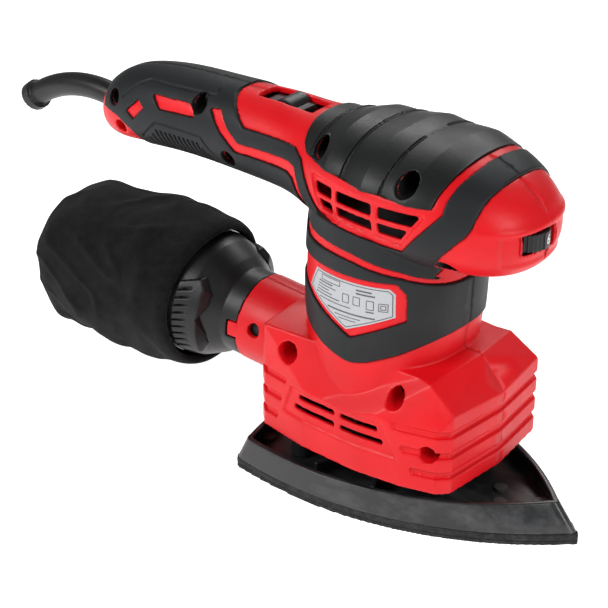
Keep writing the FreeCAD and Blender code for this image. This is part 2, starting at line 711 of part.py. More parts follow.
spindle = upright(size("dial_bore"), 110.5, 121.0, size("dial_centre_x"), size("dial_centre_y"))
potentiometer = box(46.5, -10.0, 110.8, 58.0, 3.0, 114.2).common(upper_body(-wall - 0.4))
keep_shape("dial_potentiometer", spindle.fuse(potentiometer))
keep(plain_box("Board", 18.0, 22.0, 1.6, 27.5, -11.0, 112.5), "control_board")

# ------------------------------------------------------------------------------- the motor

shaft_length = "Sizes.shaft_top - Sizes.shaft_bottom"
keep(cylinder("Shaft", "Sizes.shaft_radius", shaft_length, "Sizes.shaft_bottom"), "motor_shaft")
ROTOR_RINGS = [
    ("armature_core", "Sizes.armature_radius", "Sizes.armature_height", "Sizes.armature_bottom"),
    ("commutator", "Sizes.commutator_radius", "Sizes.commutator_height", "Sizes.commutator_bottom"),
]
for label, outer, height, bottom in ROTOR_RINGS:
    tube(label, outer, "Sizes.shaft_radius", height, bottom)


def ring_pair(label, outer, inner, height, bottoms):
    """Two equal rings on the motor axis as one sub-part."""
    rings = []
    for index, bottom in enumerate(bottoms):
        body = cylinder("%s_body%d" % (label, index), outer, height, bottom)
        hole = cylinder("%s_hole%d" % (label, index), inner, height, bottom)
        rings.append(cut("%s_ring%d" % (label, index), body, hole))
    return keep(fuse(label + "_pair", rings), label)


ring_pair("armature_windings", "Sizes.winding_radius", "Sizes.shaft_radius", "Sizes.winding_height", [
    "Sizes.armature_bottom - Sizes.winding_height", "Sizes.armature_bottom + Sizes.armature_height",
])
field_bottom = "Sizes.armature_bottom + 0.5"
tube("field_core", "Sizes.field_outer", "Sizes.field_inner", "Sizes.field_height", field_bottom)
ring_pair("field_coils", "Sizes.field_outer - 2.4", "Sizes.field_inner + 0.8", "3.6", [
    "Sizes.armature_bottom - 3.4", "Sizes.armature_bottom + Sizes.field_height + 0.7",
])

journal = "Sizes.shaft_radius + Sizes.running_gap"
cup_outer = "Sizes.upper_bearing_outer + Sizes.bearing_cup_wall"
upper_seat = ("Sizes.upper_bearing_height", "Sizes.upper_bearing_bottom")
tube("lower_bearing", "Sizes.bearing_outer", journal, "Sizes.bearing_height", "Sizes.lower_bearing_bottom")
tube("upper_bearing", "Sizes.upper_bearing_outer", journal, *upper_seat)
tube("bearing_cup", cup_outer, "Sizes.upper_bearing_outer", *upper_seat)

plate_disc = cylinder("BracketDisc", "Sizes.bracket_radius", "Sizes.bracket_plate", "Sizes.bracket_bottom")
bracket_reach = "Sizes.bracket_height - 1.6"
bracket_hub = cylinder("BracketHub", "Sizes.bearing_outer + 2.2", bracket_reach, "Sizes.bracket_bottom")
bracket_bore = cylinder("BracketBore", "Sizes.bearing_outer", "Sizes.bracket_height", "Sizes.bracket_bottom")
keep(cut("LowerBracket", fuse("BracketSolid", [plate_disc, bracket_hub]), bracket_bore), "lower_bracket")
seat_bottom = "Sizes.upper_bearing_bottom - 2.2"
seat_disc = cylinder("SeatDisc", "26", "2", seat_bottom)
seat_hub = cylinder("SeatHub", "12.2", "7", seat_bottom)
seat_bore = cylinder("SeatBore", cup_outer, "9", seat_bottom)
keep(cut("UpperBracket", fuse("SeatSolid", [seat_disc, seat_hub]), seat_bore), "upper_bracket")

brush_z = size("commutator_bottom") + 5.0
brush_half = size("brush_width") / 2


def lying_bar(start, length, half, sign):
    """A square bar along X at the brushes' height, on one side of the shaft."""
    near = start * sign
    far = (start + length) * sign
    return box(min(near, far), -half, brush_z - half, max(near, far), half, brush_z + half)


brushes = []
holders = []
for sign in (1, -1):
    brushes.append(lying_bar(9.6, size("brush_length"), brush_half, sign))
    holder = lying_bar(12.0, size("holder_length"), brush_half + size("holder_wall"), sign)
    holders.append(holder.cut(lying_bar(0.0, 30.0, brush_half + 0.05, sign)))
keep_shape("carbon_brushes", Part.makeCompound(brushes))
keep_shape("brush_holders", Part.makeCompound(holders))


def origin_item(body, role):
    return [item for item in body.Origin.OriginFeatures if item.Role == role][0]


def fan_sketch(body, name):
    """An empty sketch on the body's level plane."""
    sketch = body.newObject("Sketcher::SketchObject", name)
    sketch.AttachmentSupport = [(origin_item(body, "XY_Plane"), "")]
    sketch.MapMode = "FlatFace"
    return sketch


def fan_disc(body, name, radius, height):
    """A disc round the shaft, as a pad of two circles."""
    sketch = fan_sketch(body, name + "Sketch")
    for ring in (radius, size("shaft_radius")):
        sketch.addGeometry(Part.Circle(Vector(0, 0, 0), Vector(0, 0, 1), ring), False)
    pad = body.newObject("PartDesign::Pad", name)
    pad.Profile = sketch
    pad.setExpression("Length", height)


def fan_body():
    """The fan: a disc and hub with twelve straight blades, patterned about the motor axis."""
    body = doc.addObject("PartDesign::Body", "Fan")
    fan_disc(body, "FanDisc", size("fan_radius"), "Sizes.fan_disc")
    fan_disc(body, "FanHub", size("fan_hub"), "Sizes.fan_height")
    blade_sketch = fan_sketch(body, "FanBladeSketch")
    start = size("fan_hub") - 1.0
    end = size("fan_radius") - 0.5
    half = size("fan_blade") / 2
    corners = [Vector(x, y, 0) for x, y in ((start, -half), (end, -half), (end, half), (start, half))]
    for corner, following in zip(corners, corners[1:] + corners[:1]):
        blade_sketch.addGeometry(Part.LineSegment(corner, following), False)
    blade = body.newObject("PartDesign::Pad", "FanBlade")
    blade.Profile = blade_sketch
    blade.setExpression("Length", "Sizes.fan_height")
    doc.recompute()
    pattern = body.newObject("PartDesign::PolarPattern", "FanBlades")
    pattern.Originals = [blade]
    pattern.Axis = (origin_item(body, "Z_Axis"), [""])
    pattern.Angle = 360
    pattern.Occurrences = 12
    body.Tip = pattern
    body.setExpression("Placement.Base.z", "Sizes.fan_bottom")
    return body


keep(fan_body(), "fan")

weight_bottom = "Sizes.counterweight_bottom"
weight = cylinder("Weight", "Sizes.counterweight_radius", "Sizes.counterweight_height", weight_bottom)
weight.Angle = 180
weight.Placement.Rotation = Rotation(Vector(0, 0, 1), 90)
collar_height = "Sizes.fan_bottom - Sizes.counterweight_bottom - 0.2"
collar = cylinder("EccentricCollar", "7.5", collar_height, weight_bottom)
collar_bore = cylinder("EccentricBore", "Sizes.shaft_radius", "20", "Sizes.shaft_bottom")
pin_length = "Sizes.counterweight_bottom - Sizes.pin_bottom"
pin = cylinder("EccentricPin", "Sizes.pin_radius", pin_length, "Sizes.pin_bottom")
bind(pin, Placement__Base__x="Sizes.eccentricity")
keep(cut("Eccentric", fuse("EccentricSolid", [weight, collar, pin]), collar_bore), "eccentric")

# ------------------------------------------------------------------------------- the platen

sole_top = size("hook_thickness") + size("foam_thickness")


def pad_wire(z, stretch, lift=0.0):
    """The iron-shaped outline at a height; stretch draws its length in towards the axis."""
    tip, rear, half = size("pad_tip"), size("pad_rear"), size("pad_half_width")
    corner = size("pad_corner_rear")

    def at(x, y):
        return Vector(x * stretch, y, z)

    edges = []
    heel_x = corner - 3.4
    heel_y = half - 6.6
    for side in (-1, 1):
        heel = at(heel_x, side * heel_y)
        shoulder = at(corner, side * (half - 2.9))
        flank = at(-6.0, side * half)
        nose = at(tip - 1.8, side * 2.2)
        run = [
            Part.Arc(heel, at(corner - 2.2, side * (half - 3.9)), shoulder),
            Part.Arc(shoulder, at(-27.0, side * (half - 0.3)), flank),
            Part.Arc(flank, at(40.0, side * (half - 10.8)), nose),
        ]
        edges.append([arc.toShape() for arc in run])
    tip_arc = Part.Arc(at(tip - 1.8, -2.2), at(tip, 0), at(tip - 1.8, 2.2)).toShape()
    rear_arc = Part.Arc(at(heel_x, heel_y), at(rear, 0), at(heel_x, -heel_y)).toShape()
    return Part.Wire(edges[0] + [tip_arc] + list(reversed(edges[1])) + [rear_arc])


def slab_between(z0, z1, stretch0, stretch1):
    return Part.makeLoft([pad_wire(z0, stretch0), pad_wire(z1, stretch1)], True, True)


keep_shape("hook_sheet", slab_between(0.0, size("hook_thickness"), 1.0, 1.0))
keep_shape("foam_pad", slab_between(size("hook_thickness"), sole_top, 1.0, 0.998))
rim_top = sole_top + size("platen_height")
rim_stretch = 0.885
block = slab_between(sole_top, rim_top, 0.985, rim_stretch)
floor_z = sole_top + size("platen_floor")
rim = size("platen_rim")
low_wire = Part.Wire(pad_wire(floor_z, 0.955).makeOffset2D(-rim).Edges)
high_wire = Part.Wire(pad_wire(rim_top + 1.0, rim_stretch - 0.01).makeOffset2D(-rim).Edges)
hollow = Part.makeLoft([low_wire, high_wire], True, True)
off_axis = size("eccentricity")
hub_outer = size("platen_bearing_outer") + size("hub_wall")
hub_top = size("platen_bearing_bottom") + size("platen_bearing_height")
tray = block.cut(hollow).fuse(upright(hub_outer, floor_z - 0.5, hub_top, off_axis))
spokes = []
for angle in range(0, 360, 45):
    corner = Vector(hub_outer - 1.0, -1.0, floor_z - 0.5)
    spoke = Part.makeBox(22.0, 2.0, hub_top - floor_z - 2.0, corner)
    spoke.rotate(Vector(0, 0, 0), Vector(0, 0, 1), angle + 22.5)
    spokes.append(spoke)
tray = tray.fuse(spokes)
seat = upright(size("platen_bearing_outer"), size("platen_bearing_bottom") - 0.6, hub_top + 1, off_axis)
keep_shape("platen", tray.cut(seat))

bearing_ring = upright(size("platen_bearing_outer"), size("platen_bearing_bottom"), hub_top, off_axis)
bearing_hole = upright(size("pin_radius") + size("running_gap"), 0.0, 40.0, off_axis)
keep_shape("platen_bearing", bearing_ring.cut(bearing_hole))

rivets = []
for x, y in RIVETS:
    rivets.append(upright(RIVET_RADIUS, floor_z, floor_z + RIVET_HEIGHT, x, y))
keep_shape("platen_rivets", Part.makeCompound(rivets))

cover_z = size("cover_bottom")
cover_plan = plan_face(scaled_plan(size("casing_wall") + 0.3), cover_z)
cover = cover_plan.extrude(Vector(0, 0, size("cover_thickness")))
keep_shape("fan_cover", cover.cut(upright(size("cover_opening"), 0, 60)))
posts = []
for x in (-27.0, 27.0):
    for y in (-22.0, 22.0):
        posts.append(upright(size("post_radius"), floor_z + 0.6, cover_z, x, y))
keep_shape("rubber_posts", Part.makeCompound(posts))

# ------------------------------------------------------------------------ check and write

doc.recompute()
for item in doc.Objects:
    if "Invalid" in item.State or "Error" in item.State:
        raise SystemExit("failed feature: " + item.Name)
for label, item in pieces.items():
    if item.Shape.isNull() or not item.Shape.isValid():
        raise SystemExit("bad shape: " + label)
os.makedirs("parts", exist_ok=True)
for label, item in pieces.items():
    item.Shape.exportStep("parts/" + label + ".step")
    print("%-20s solids %2d  volume %9.1f" % (label, len(item.Shape.Solids), item.Shape.Volume))
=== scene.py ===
"""The look of the detail mouse sander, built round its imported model. Metres, +Z up."""
import json
import math

import bmesh
import bpy
import numpy as np
from mathutils import Matrix, Vector, noise
from mathutils.bvhtree import BVHTree

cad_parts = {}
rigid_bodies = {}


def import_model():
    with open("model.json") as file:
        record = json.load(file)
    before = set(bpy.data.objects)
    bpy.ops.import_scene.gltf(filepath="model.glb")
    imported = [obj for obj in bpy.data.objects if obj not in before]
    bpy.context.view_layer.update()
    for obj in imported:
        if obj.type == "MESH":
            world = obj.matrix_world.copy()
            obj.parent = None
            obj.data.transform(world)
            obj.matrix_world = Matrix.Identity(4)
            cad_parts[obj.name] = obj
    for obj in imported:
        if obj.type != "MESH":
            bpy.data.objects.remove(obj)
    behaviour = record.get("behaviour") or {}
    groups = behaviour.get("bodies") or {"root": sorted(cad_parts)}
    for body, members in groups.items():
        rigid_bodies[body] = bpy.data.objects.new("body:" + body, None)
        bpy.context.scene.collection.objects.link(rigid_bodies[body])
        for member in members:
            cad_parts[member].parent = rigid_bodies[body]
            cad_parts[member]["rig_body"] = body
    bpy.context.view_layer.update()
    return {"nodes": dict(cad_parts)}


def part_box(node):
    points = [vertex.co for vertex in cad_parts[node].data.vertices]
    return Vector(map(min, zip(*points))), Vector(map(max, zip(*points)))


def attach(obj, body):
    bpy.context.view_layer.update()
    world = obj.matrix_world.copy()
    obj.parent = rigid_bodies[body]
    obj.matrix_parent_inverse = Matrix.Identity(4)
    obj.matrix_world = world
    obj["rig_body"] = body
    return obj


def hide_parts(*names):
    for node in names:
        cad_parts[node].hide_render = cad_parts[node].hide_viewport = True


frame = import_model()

MM = 0.001
NODES = frame["nodes"]

# Sizes and places below are in millimetres, unless a line says otherwise.

# The parting line: the gap of each half from the mid-plane, and how far a half is drawn past it.
SEAM_GAP = 0.03
SEAM_REACH = 1.2
MEETING_DEPTH = 0.05
# Behind this distance along Y, a counterbore is in deep shadow.
SEAT_Y = -8.0
# A counterbore's wall lies this far past its screw's head, and faces the axis by this share.
HOLE_MARGIN = 1.9
WALL_TURN = 0.7

# The palm cap's facets: places along X and the height of the surface there.
CAP_STATIONS = [-34.0, -24.0, -13.4, -5.4, 5.8, 14.0, 24.6, 33.5]
CAP_HEIGHTS = [-0.1, -0.9, 0.45, -0.9, 0.5, -0.8, 0.5, -0.2]
# Lines in the side view, x and z: the handle's panel, its finger pad, and the nose's band.
PANEL_LINE = [
    (-121.6, 130.6), (-115.0, 136.8), (-110.7, 138.7), (-78.7, 139.9), (-77.1, 140.5), (-77.9, 141.5),
]
PAD_LINE = [(-111.5, 116.5), (-102.9, 124.9), (-80.1, 124.7), (-70.0, 112.0)]
NOSE_BAND = (110.2, 121.8, 54.8)

# Grid of the remeshed mouldings, in metres.
SHELL_VOXEL = 0.48 * MM
SKIN_VOXEL = 0.36 * MM
CAP_VOXEL = 0.24 * MM
SLIDER_VOXEL = 0.3 * MM
DIAL_VOXEL = 0.2 * MM
PAD_VOXEL = 0.6 * MM

PORT_MOUTH = Vector((-64.5, 0, 46.5)) * MM
PORT_TILT = math.radians(5)
# The bag's outline: distance back from the port's mouth and radius, from its hem to its end.
BAG_OUTLINE = [
    (29.0, 27.2), (26.8, 27.5), (25.6, 28.7), (26.4, 30.3), (30.0, 31.6), (44.0, 32.3), (66.0, 32.0),
    (84.0, 31.3), (97.0, 30.0), (103.2, 27.4), (106.4, 21.5), (108.0, 14.0), (108.6, 6.0), (108.8, 0.4),
]
BAG_ROWS = 120
BAG_AROUND = 176
BAG_SQUARENESS = 2.3
HEM_RINGS = 6
CLOTH_FRAMES = 26
CLOTH_GRAVITY = 0.35
CLOTH = {
    "quality": 6,
    "mass": 0.25,
    "tension_stiffness": 12,
    "compression_stiffness": 12,
    "shear_stiffness": 6,
    "bending_stiffness": 0.15,
    "shrink_min": -0.075,
    "use_pressure": True,
    "uniform_pressure_force": 0.6,
    "vertex_group_mass": "held",
}
# How far a point of the bag may move from its start, and past the CAD bag's box.
MOVE_MOST = 4.5 * MM
MOVE_AT_HEM = 0.3 * MM
BAG_MARGIN = 3.0 * MM

# The thumbwheel's numbers: angles in degrees, distances in metres.
DIAL_FIRST_ANGLE = 8
DIAL_STEP_ANGLE = 50
PATCH_HALF_ANGLE = 14
PATCH_STEPS = 8
PATCH_LIFT = 0.02 * MM
PATCH_EDGE = 0.15 * MM
NUMBER_LIFT = 0.3 * MM

# The rating plate's print, x and z: its border, rules (start, length, width) and empty boxes.
PRINT_LIFT = 0.04
PLATE_BORDER = [(-14.6, 93.7), (15.5, 93.5), (16.9, 92.1), (17.1, 83.8), (0.1, 76.2), (-18.5, 86.1)]
PLATE_RULES = [
    (-13.4, 90.4, 7.0, 0.5), (-13.8, 89.2, 9.0, 0.35), (-14.2, 88.0, 6.0, 0.35), (-14.6, 86.8, 8.0, 0.35),
    (-15.0, 85.6, 12.0, 0.4), (-13.0, 84.2, 15.0, 0.35), (-8.6, 82.0, 20.0, 0.6), (-5.0, 80.4, 11.0, 0.3),
    (-3.4, 79.2, 7.6, 0.3), (4.0, 92.0, 6.0, 0.6), (4.0, 90.7, 7.2, 0.6), (8.0, 84.4, 3.0, 0.5),
]
PLATE_BOXES = [
    (-12.0, 91.3, 9.0, 1.8), (-1.5, 86.0, 2.6, 3.2), (3.0, 86.0, 2.6, 3.2), (8.2, 85.4, 2.6, 3.4),
    (12.6, 85.4, 3.0, 3.0), (13.3, 86.1, 1.6, 1.6),
]


# ------------------------------------------------------------------ small helpers

def link(obj):
    bpy.context.scene.collection.objects.link(obj)
    return obj


def set_input(node, name, value):
    if name in node.inputs:
        node.inputs[name].default_value = value


class Material:
    """A node material with one Principled shader, and short calls to build on it."""

    def __init__(self, name, color, roughness, metallic=0.0, specular=0.5):
        self.material = bpy.data.materials.new(name)
        self.material.use_nodes = True
        self.tree = self.material.node_tree
        self.shader = self.tree.nodes["Principled BSDF"]
        set_input(self.shader, "Base Color", (*color, 1))
        set_input(self.shader, "Roughness", roughness)
        set_input(self.shader, "Metallic", metallic)
        set_input(self.shader, "Specular IOR Level", specular)
        self.height = None

    def node(self, kind, **values):
        made = self.tree.nodes.new(kind)
        for key, value in values.items():
            if key in made.inputs:
                made.inputs[key].default_value = value
            else:
                setattr(made, key, value)
        return made

    def wire(self, out, into):
        self.tree.links.new(out, into)

    def place(self, stretch=(1, 1, 1)):
        coordinates = self.node("ShaderNodeTexCoord")
        mapping = self.node("ShaderNodeMapping")
        mapping.inputs["Scale"].default_value = stretch
        self.wire(coordinates.outputs["Object"], mapping.inputs["Vector"])
        return mapping.outputs["Vector"]

    def noise(self, scale, detail=3.0, roughness=0.55, stretch=(1, 1, 1)):
        made = self.node("ShaderNodeTexNoise", Scale=scale, Detail=detail, Roughness=roughness)
        self.wire(self.place(stretch), made.inputs["Vector"])
        return made.outputs["Fac"]

    def ramp(self, value, low, high, start=0.0, end=1.0):
        """A value spread between two colours or two numbers."""
        made = self.node("ShaderNodeMapRange")
        made.inputs["From Min"].default_value = low
        made.inputs["From Max"].default_value = high
        made.inputs["To Min"].default_value = start
        made.inputs["To Max"].default_value = end
        self.wire(value, made.inputs["Value"])
        return made.outputs["Result"]

    def tint(self, factor, first, second):
        made = self.node("ShaderNodeMix")
        made.data_type = "RGBA"
        for socket in made.inputs:
            if socket.name == "A" and socket.type == "RGBA":
                socket.default_value = (*first, 1)
            if socket.name == "B" and socket.type == "RGBA":
                socket.default_value = (*second, 1)
        self.wire(factor, made.inputs["Factor"])
        colors = [out for out in made.outputs if out.type == "RGBA"]
        self.wire(colors[0], self.shader.inputs["Base Color"])

    def rough(self, factor, low, high):
        self.wire(self.ramp(factor, 0.3, 0.7, low, high), self.shader.inputs["Roughness"])

    def bump(self, height, distance, strength=0.5):
        made = self.node("ShaderNodeBump", Strength=strength, Distance=distance)
        self.wire(height, made.inputs["Height"])
        if self.height is not None:
            self.wire(self.height, made.inputs["Normal"])
        self.height = made.outputs["Normal"]
        self.wire(self.height, self.shader.inputs["Normal"])


def plastic(name, color, worn, roughness, grain, depth, specular=0.5):
    """A moulded plastic or rubber: fine spark texture, soft cloudiness and uneven gloss."""
    made = Material(name, color, roughness, specular=specular)
    cloud = made.noise(38, 4.0)
    made.tint(made.ramp(cloud, 0.35, 0.75), color, worn)
    made.rough(made.noise(70, 5.0), roughness - 0.06, roughness + 0.08)
    made.bump(made.noise(grain, 2.0, 0.6), depth, 0.55)
    made.bump(made.noise(grain * 0.16, 2.0), depth * 2.0, 0.2)
    return made


red = plastic("red_plastic", (0.66, 0.003, 0.008), (0.56, 0.002, 0.006), 0.4, 2600, 0.00008, 0.28)
rubber = plastic("grip_rubber", (0.0085, 0.0095, 0.0105), (0.014, 0.0155, 0.017), 0.52, 2400, 0.0001, 0.24)
cap_rubber = plastic("cap_rubber", (0.0055, 0.006, 0.0063), (0.0095, 0.010, 0.0105), 0.42, 2200, 0.0001, 0.28)
black = plastic("black_plastic", (0.006, 0.006, 0.0065), (0.010, 0.010, 0.011), 0.4, 2200, 0.00006, 0.35)
# Painted shade: a darker copy of the black plastic, put on the counterbores' walls where they lie in shadow.
hole_painted_shade = plastic("hole_painted_shade", (0.004, 0.004, 0.004), (0.007, 0.007, 0.007), 0.6, 1500, 0.00005, 0.15)
rivet_steel = Material("rivet_steel", (0.09, 0.085, 0.085), 0.55, 0.7)
rivet_steel.bump(rivet_steel.noise(500, 4.0), 0.0001)
platen_black = plastic("platen_plastic", (0.011, 0.012, 0.013), (0.02, 0.021, 0.022), 0.3, 1500, 0.00005)
dark_inside = plastic("inner_plastic", (0.02, 0.02, 0.021), (0.03, 0.03, 0.03), 0.6, 1500, 0.00005)


def scuffed_platen():
    """Dusty smears and fine scratches over the platen's gloss."""
    made = platen_black
    smear = made.noise(60, 6.0, 0.7, (0.35, 1.0, 1.0))
    made.tint(made.ramp(smear, 0.5, 0.78), (0.011, 0.012, 0.013), (0.075, 0.077, 0.08))
    made.rough(made.noise(120, 6.0, 0.7, (0.3, 1, 1)), 0.24, 0.5)


scuffed_platen()

steel = Material("screw_steel", (0.62, 0.62, 0.64), 0.3, 1.0)
steel.rough(steel.noise(300, 4.0), 0.2, 0.42)
steel.bump(steel.noise(900, 2.0), 0.00004)
copper = Material("copper", (0.5, 0.2, 0.08), 0.4, 1.0)
copper.bump(copper.noise(400, 2.0, 0.5, (1, 1, 6)), 0.0002)
iron = Material("laminations", (0.22, 0.22, 0.23), 0.5, 0.9)
iron.bump(iron.noise(60, 2.0, 0.5, (1, 1, 30)), 0.0002)
board = Material("board", (0.02, 0.12, 0.05), 0.45)
board.bump(board.noise(500), 0.0001)
film = Material("plate_film", (0.4, 0.41, 0.43), 0.42, specular=0.3)
film.rough(film.noise(90, 4.0), 0.28, 0.42)
film.bump(film.noise(200, 2.0), 0.00004, 0.3)
ink = Material("plate_ink", (0.08, 0.08, 0.085), 0.45)
ink.rough(ink.noise(300), 0.4, 0.5)
digits = Material("digit_ink", (0.75, 0.75, 0.74), 0.5)
digits.rough(digits.noise(400), 0.45, 0.55)

fleece = Material("bag_fabric", (0.005, 0.005, 0.0055), 0.95, specular=0.1)
set_input(fleece.shader, "Sheen Weight", 0.05)
set_input(fleece.shader, "Sheen Roughness", 0.5)
nap = fleece.ramp(fleece.noise(260, 6.0, 0.75), 0.35, 0.7)
fleece.tint(nap, (0.0025, 0.0025, 0.003), (0.0085, 0.0085, 0.009))
fleece.bump(fleece.noise(1500, 4.0, 0.8), 0.0006, 0.8)
fleece.bump(fleece.noise(130, 4.0), 0.0008, 0.35)

foam = Material("foam_rubber", (0.03, 0.03, 0.031), 0.85, specular=0.25)
foam.tint(foam.ramp(foam.noise(300, 5.0, 0.8), 0.4, 0.7), (0.018, 0.018, 0.019), (0.05, 0.05, 0.05))
foam.bump(foam.noise(900, 5.0, 0.8), 0.0008, 0.9)


# ----------------------------------------------------------------------- the pieces

def dress(obj, material):
    obj.data.materials.clear()
    obj.data.materials.append(material.material)


def bake(obj, name):
    """A new mesh object with obj's modifiers applied."""
    graph = bpy.context.evaluated_depsgraph_get()
    mesh = bpy.data.meshes.new_from_object(obj.evaluated_get(graph))
    mesh.name = name
    return link(bpy.data.objects.new(name, mesh))


def shade_smooth(obj):
    for polygon in obj.data.polygons:
        polygon.use_smooth = True


def positions(mesh):
    values = np.zeros(len(mesh.vertices) * 3)
    mesh.vertices.foreach_get("co", values)
    return values.reshape(-1, 3) / MM


def normals(mesh):
    values = np.zeros(len(mesh.vertices) * 3)
    mesh.vertices.foreach_get("normal", values)
    return values.reshape(-1, 3)


def place_vertices(mesh, points):
    mesh.vertices.foreach_set("co", (points * MM).ravel())
    mesh.update()


def line_distance(points, line):
    """How far each point is from a polyline, both in the side view."""
    nearest = np.full(len(points), 1e9)
    for (ax, az), (bx, bz) in zip(line, line[1:]):
        start, run = np.array((ax, az)), np.array((bx - ax, bz - az))
        share = np.clip(((points - start) @ run) / (run @ run), 0, 1)
        away = points - start - share[:, None] * run
        nearest = np.minimum(nearest, np.hypot(away[:, 0], away[:, 1]))
    return nearest


def distance_to_lines(mesh, lines):
    """For each vertex, how far it is from the nearest of several side-view lines."""
    side_view = positions(mesh)[:, [0, 2]]
    return np.minimum.reduce([line_distance(side_view, line) for line in lines])


def refine(mesh, near, cuts=1):
    """Finer faces where a detail needs them: near is a mask over the vertices."""
    work = bmesh.new()
    work.from_mesh(mesh)
    work.verts.ensure_lookup_table()
    chosen = [edge for edge in work.edges if near[edge.verts[0].index] and near[edge.verts[1].index]]
    bmesh.ops.subdivide_edges(work, edges=chosen, cuts=cuts, use_grid_fill=True)
    work.to_mesh(mesh)
    work.free()
    mesh.update()


def engrave(mesh, lines, width, depth):
    """Cut fine grooves along side-view lines, on both sides of the machine."""
    refine(mesh, distance_to_lines(mesh, lines) < width * 1.6, 2)
    away = distance_to_lines(mesh, lines)
    points, outward = positions(mesh), normals(mesh)
    sink = depth * np.exp(-((away / (width * 0.5)) ** 4))
    sink *= np.clip(np.abs(outward[:, [1, 2]]).max(axis=1) * 3 - 1, 0, 1)
    place_vertices(mesh, points - outward * sink[:, None])


def moulded(node, material, voxel, smoothing=4, relief=None, faces=190000):
    """A copy of a CAD node with its edges rounded over, as a moulding has them."""
    source = link(bpy.data.objects.new(node + "_source", NODES[node].data.copy()))
    side = extend_past_seam(source.data)
    remesh = source.modifiers.new("remesh", "REMESH")
    remesh.mode = "VOXEL"
    remesh.voxel_size = voxel
    smooth = source.modifiers.new("smooth", "SMOOTH")
    smooth.factor = 0.5
    smooth.iterations = smoothing
    made = bake(source, node + "_moulding")
    bpy.data.objects.remove(source)
    if side:
        trim_at_seam(made.data, side)
    if relief:
        relief(made.data)
    triangles = sum(len(polygon.vertices) - 2 for polygon in made.data.polygons)
    if triangles > faces:
        thin = made.modifiers.new("thin", "DECIMATE")
        thin.ratio = faces / triangles
        full = made
        made = bake(full, node + "_shell")
        bpy.data.objects.remove(full)
    shade_smooth(made)
    dress(made, material)
    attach(made, NODES[node]["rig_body"])
    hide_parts(node)
    return made


def hole_centres():
    """Where the screws sit: x, z and the radius of each screw's head."""
    work = bmesh.new()
    work.from_mesh(NODES["housing_screws"].data)
    bmesh.ops.remove_doubles(work, verts=work.verts, dist=1e-7)
    seen = set()
    found = []
    for vertex in work.verts:
        if vertex.index in seen:
            continue
        island = []
        waiting = [vertex]
        seen.add(vertex.index)
        while waiting:
            current = waiting.pop()
            island.append(current.co)
            for edge in current.link_edges:
                other = edge.other_vert(current)
                if other.index not in seen:
                    seen.add(other.index)
                    waiting.append(other)
        xs = [place.x / MM for place in island]
        zs = [place.z / MM for place in island]
        found.append(((min(xs) + max(xs)) / 2, (min(zs) + max(zs)) / 2, (max(xs) - min(xs)) / 2))
    work.free()
    return found


def darken_holes(obj, material):
    """The inner walls of the counterbores lie in shadow, so they take painted shade: a darker copy of the
    black plastic.
    """
    obj.data.materials.append(material.material)
    centres = hole_centres()
    for polygon in obj.data.polygons:
        x, y, z = polygon.center / MM
        for hole_x, hole_z, reach in centres:
            away = math.hypot(x - hole_x, z - hole_z)
            if away > reach + HOLE_MARGIN or not rubber_hole(hole_x, hole_z):
                continue
            inward = -(polygon.normal.x * (x - hole_x) + polygon.normal.z * (z - hole_z))
            if inward > WALL_TURN * away or y > SEAT_Y:
                polygon.material_index = 1


def rubber_hole(x, z):
    """Whether a hole opens in a black area: all but the tail's and the casing's."""
    return z > 100 and not (x < -120 and z < 122)


def extend_past_seam(mesh):
    """Draw a half's meeting face past the mid-plane; returns the half's side, or 0 for a whole."""
    points = positions(mesh)
    low, high = points[:, 1].min(), points[:, 1].max()
    if low < -1 and high > 1 or min(abs(low), abs(high)) > 1:
        return 0
    side = 1 if high > 1 else -1
    meeting = np.abs(points[:, 1]) < MEETING_DEPTH
    points[meeting, 1] = -side * SEAM_REACH
    place_vertices(mesh, points)
    return side


def trim_at_seam(mesh, side):
    """Cut the rounded half off square at the mid-plane, which leaves a fine parting line."""
    work = bmesh.new()
    work.from_mesh(mesh)
    everything = work.verts[:] + work.edges[:] + work.faces[:]
    face = (0, side * SEAM_GAP * MM, 0)
    cut = bmesh.ops.bisect_plane(
        work, geom=everything, dist=1e-8, plane_co=face, plane_no=(0, -side, 0), clear_outer=True,
    )
    rim = [item for item in cut["geom_cut"] if isinstance(item, bmesh.types.BMEdge)]
    bmesh.ops.triangle_fill(work, use_beauty=True, edges=rim, normal=(0, -side, 0))
    work.to_mesh(mesh)
    work.free()
    mesh.update()


# ------------------------------------------------------------------ details of the shells

def cap_relief(mesh):
    """The palm cap's facets: it falls into a valley and rises to a ridge, over and over."""
    points, outward = positions(mesh), normals(mesh)
    lean = points[:, 0] + np.clip(points[:, 0] + 5, 0, 30) / 30 * (138.0 - points[:, 2]) * 0.15
    height = np.interp(lean, CAP_STATIONS, CAP_HEIGHTS)
    facing = np.clip(np.hypot(outward[:, 1], outward[:, 2]) * 2 - 1, 0, 1)
    place_vertices(mesh, points + outward * (height * facing)[:, None])


def grip_relief(mesh):
    """The handle's panel line, its finger pad and the pad's slots."""
    slots = []
    for step in range(14):
        x = -107.6 + 2.3 * step
        top = min(116.4 + 2.6 * step, 121.3, 121.3 - (step - 11) * 2.2)
        slots.append([(x, top), (x + 3.4, 109.0)])
    engrave(mesh, [PANEL_LINE, PAD_LINE], 0.8, 0.5)
    engrave(mesh, slots, 1.0, 1.0)


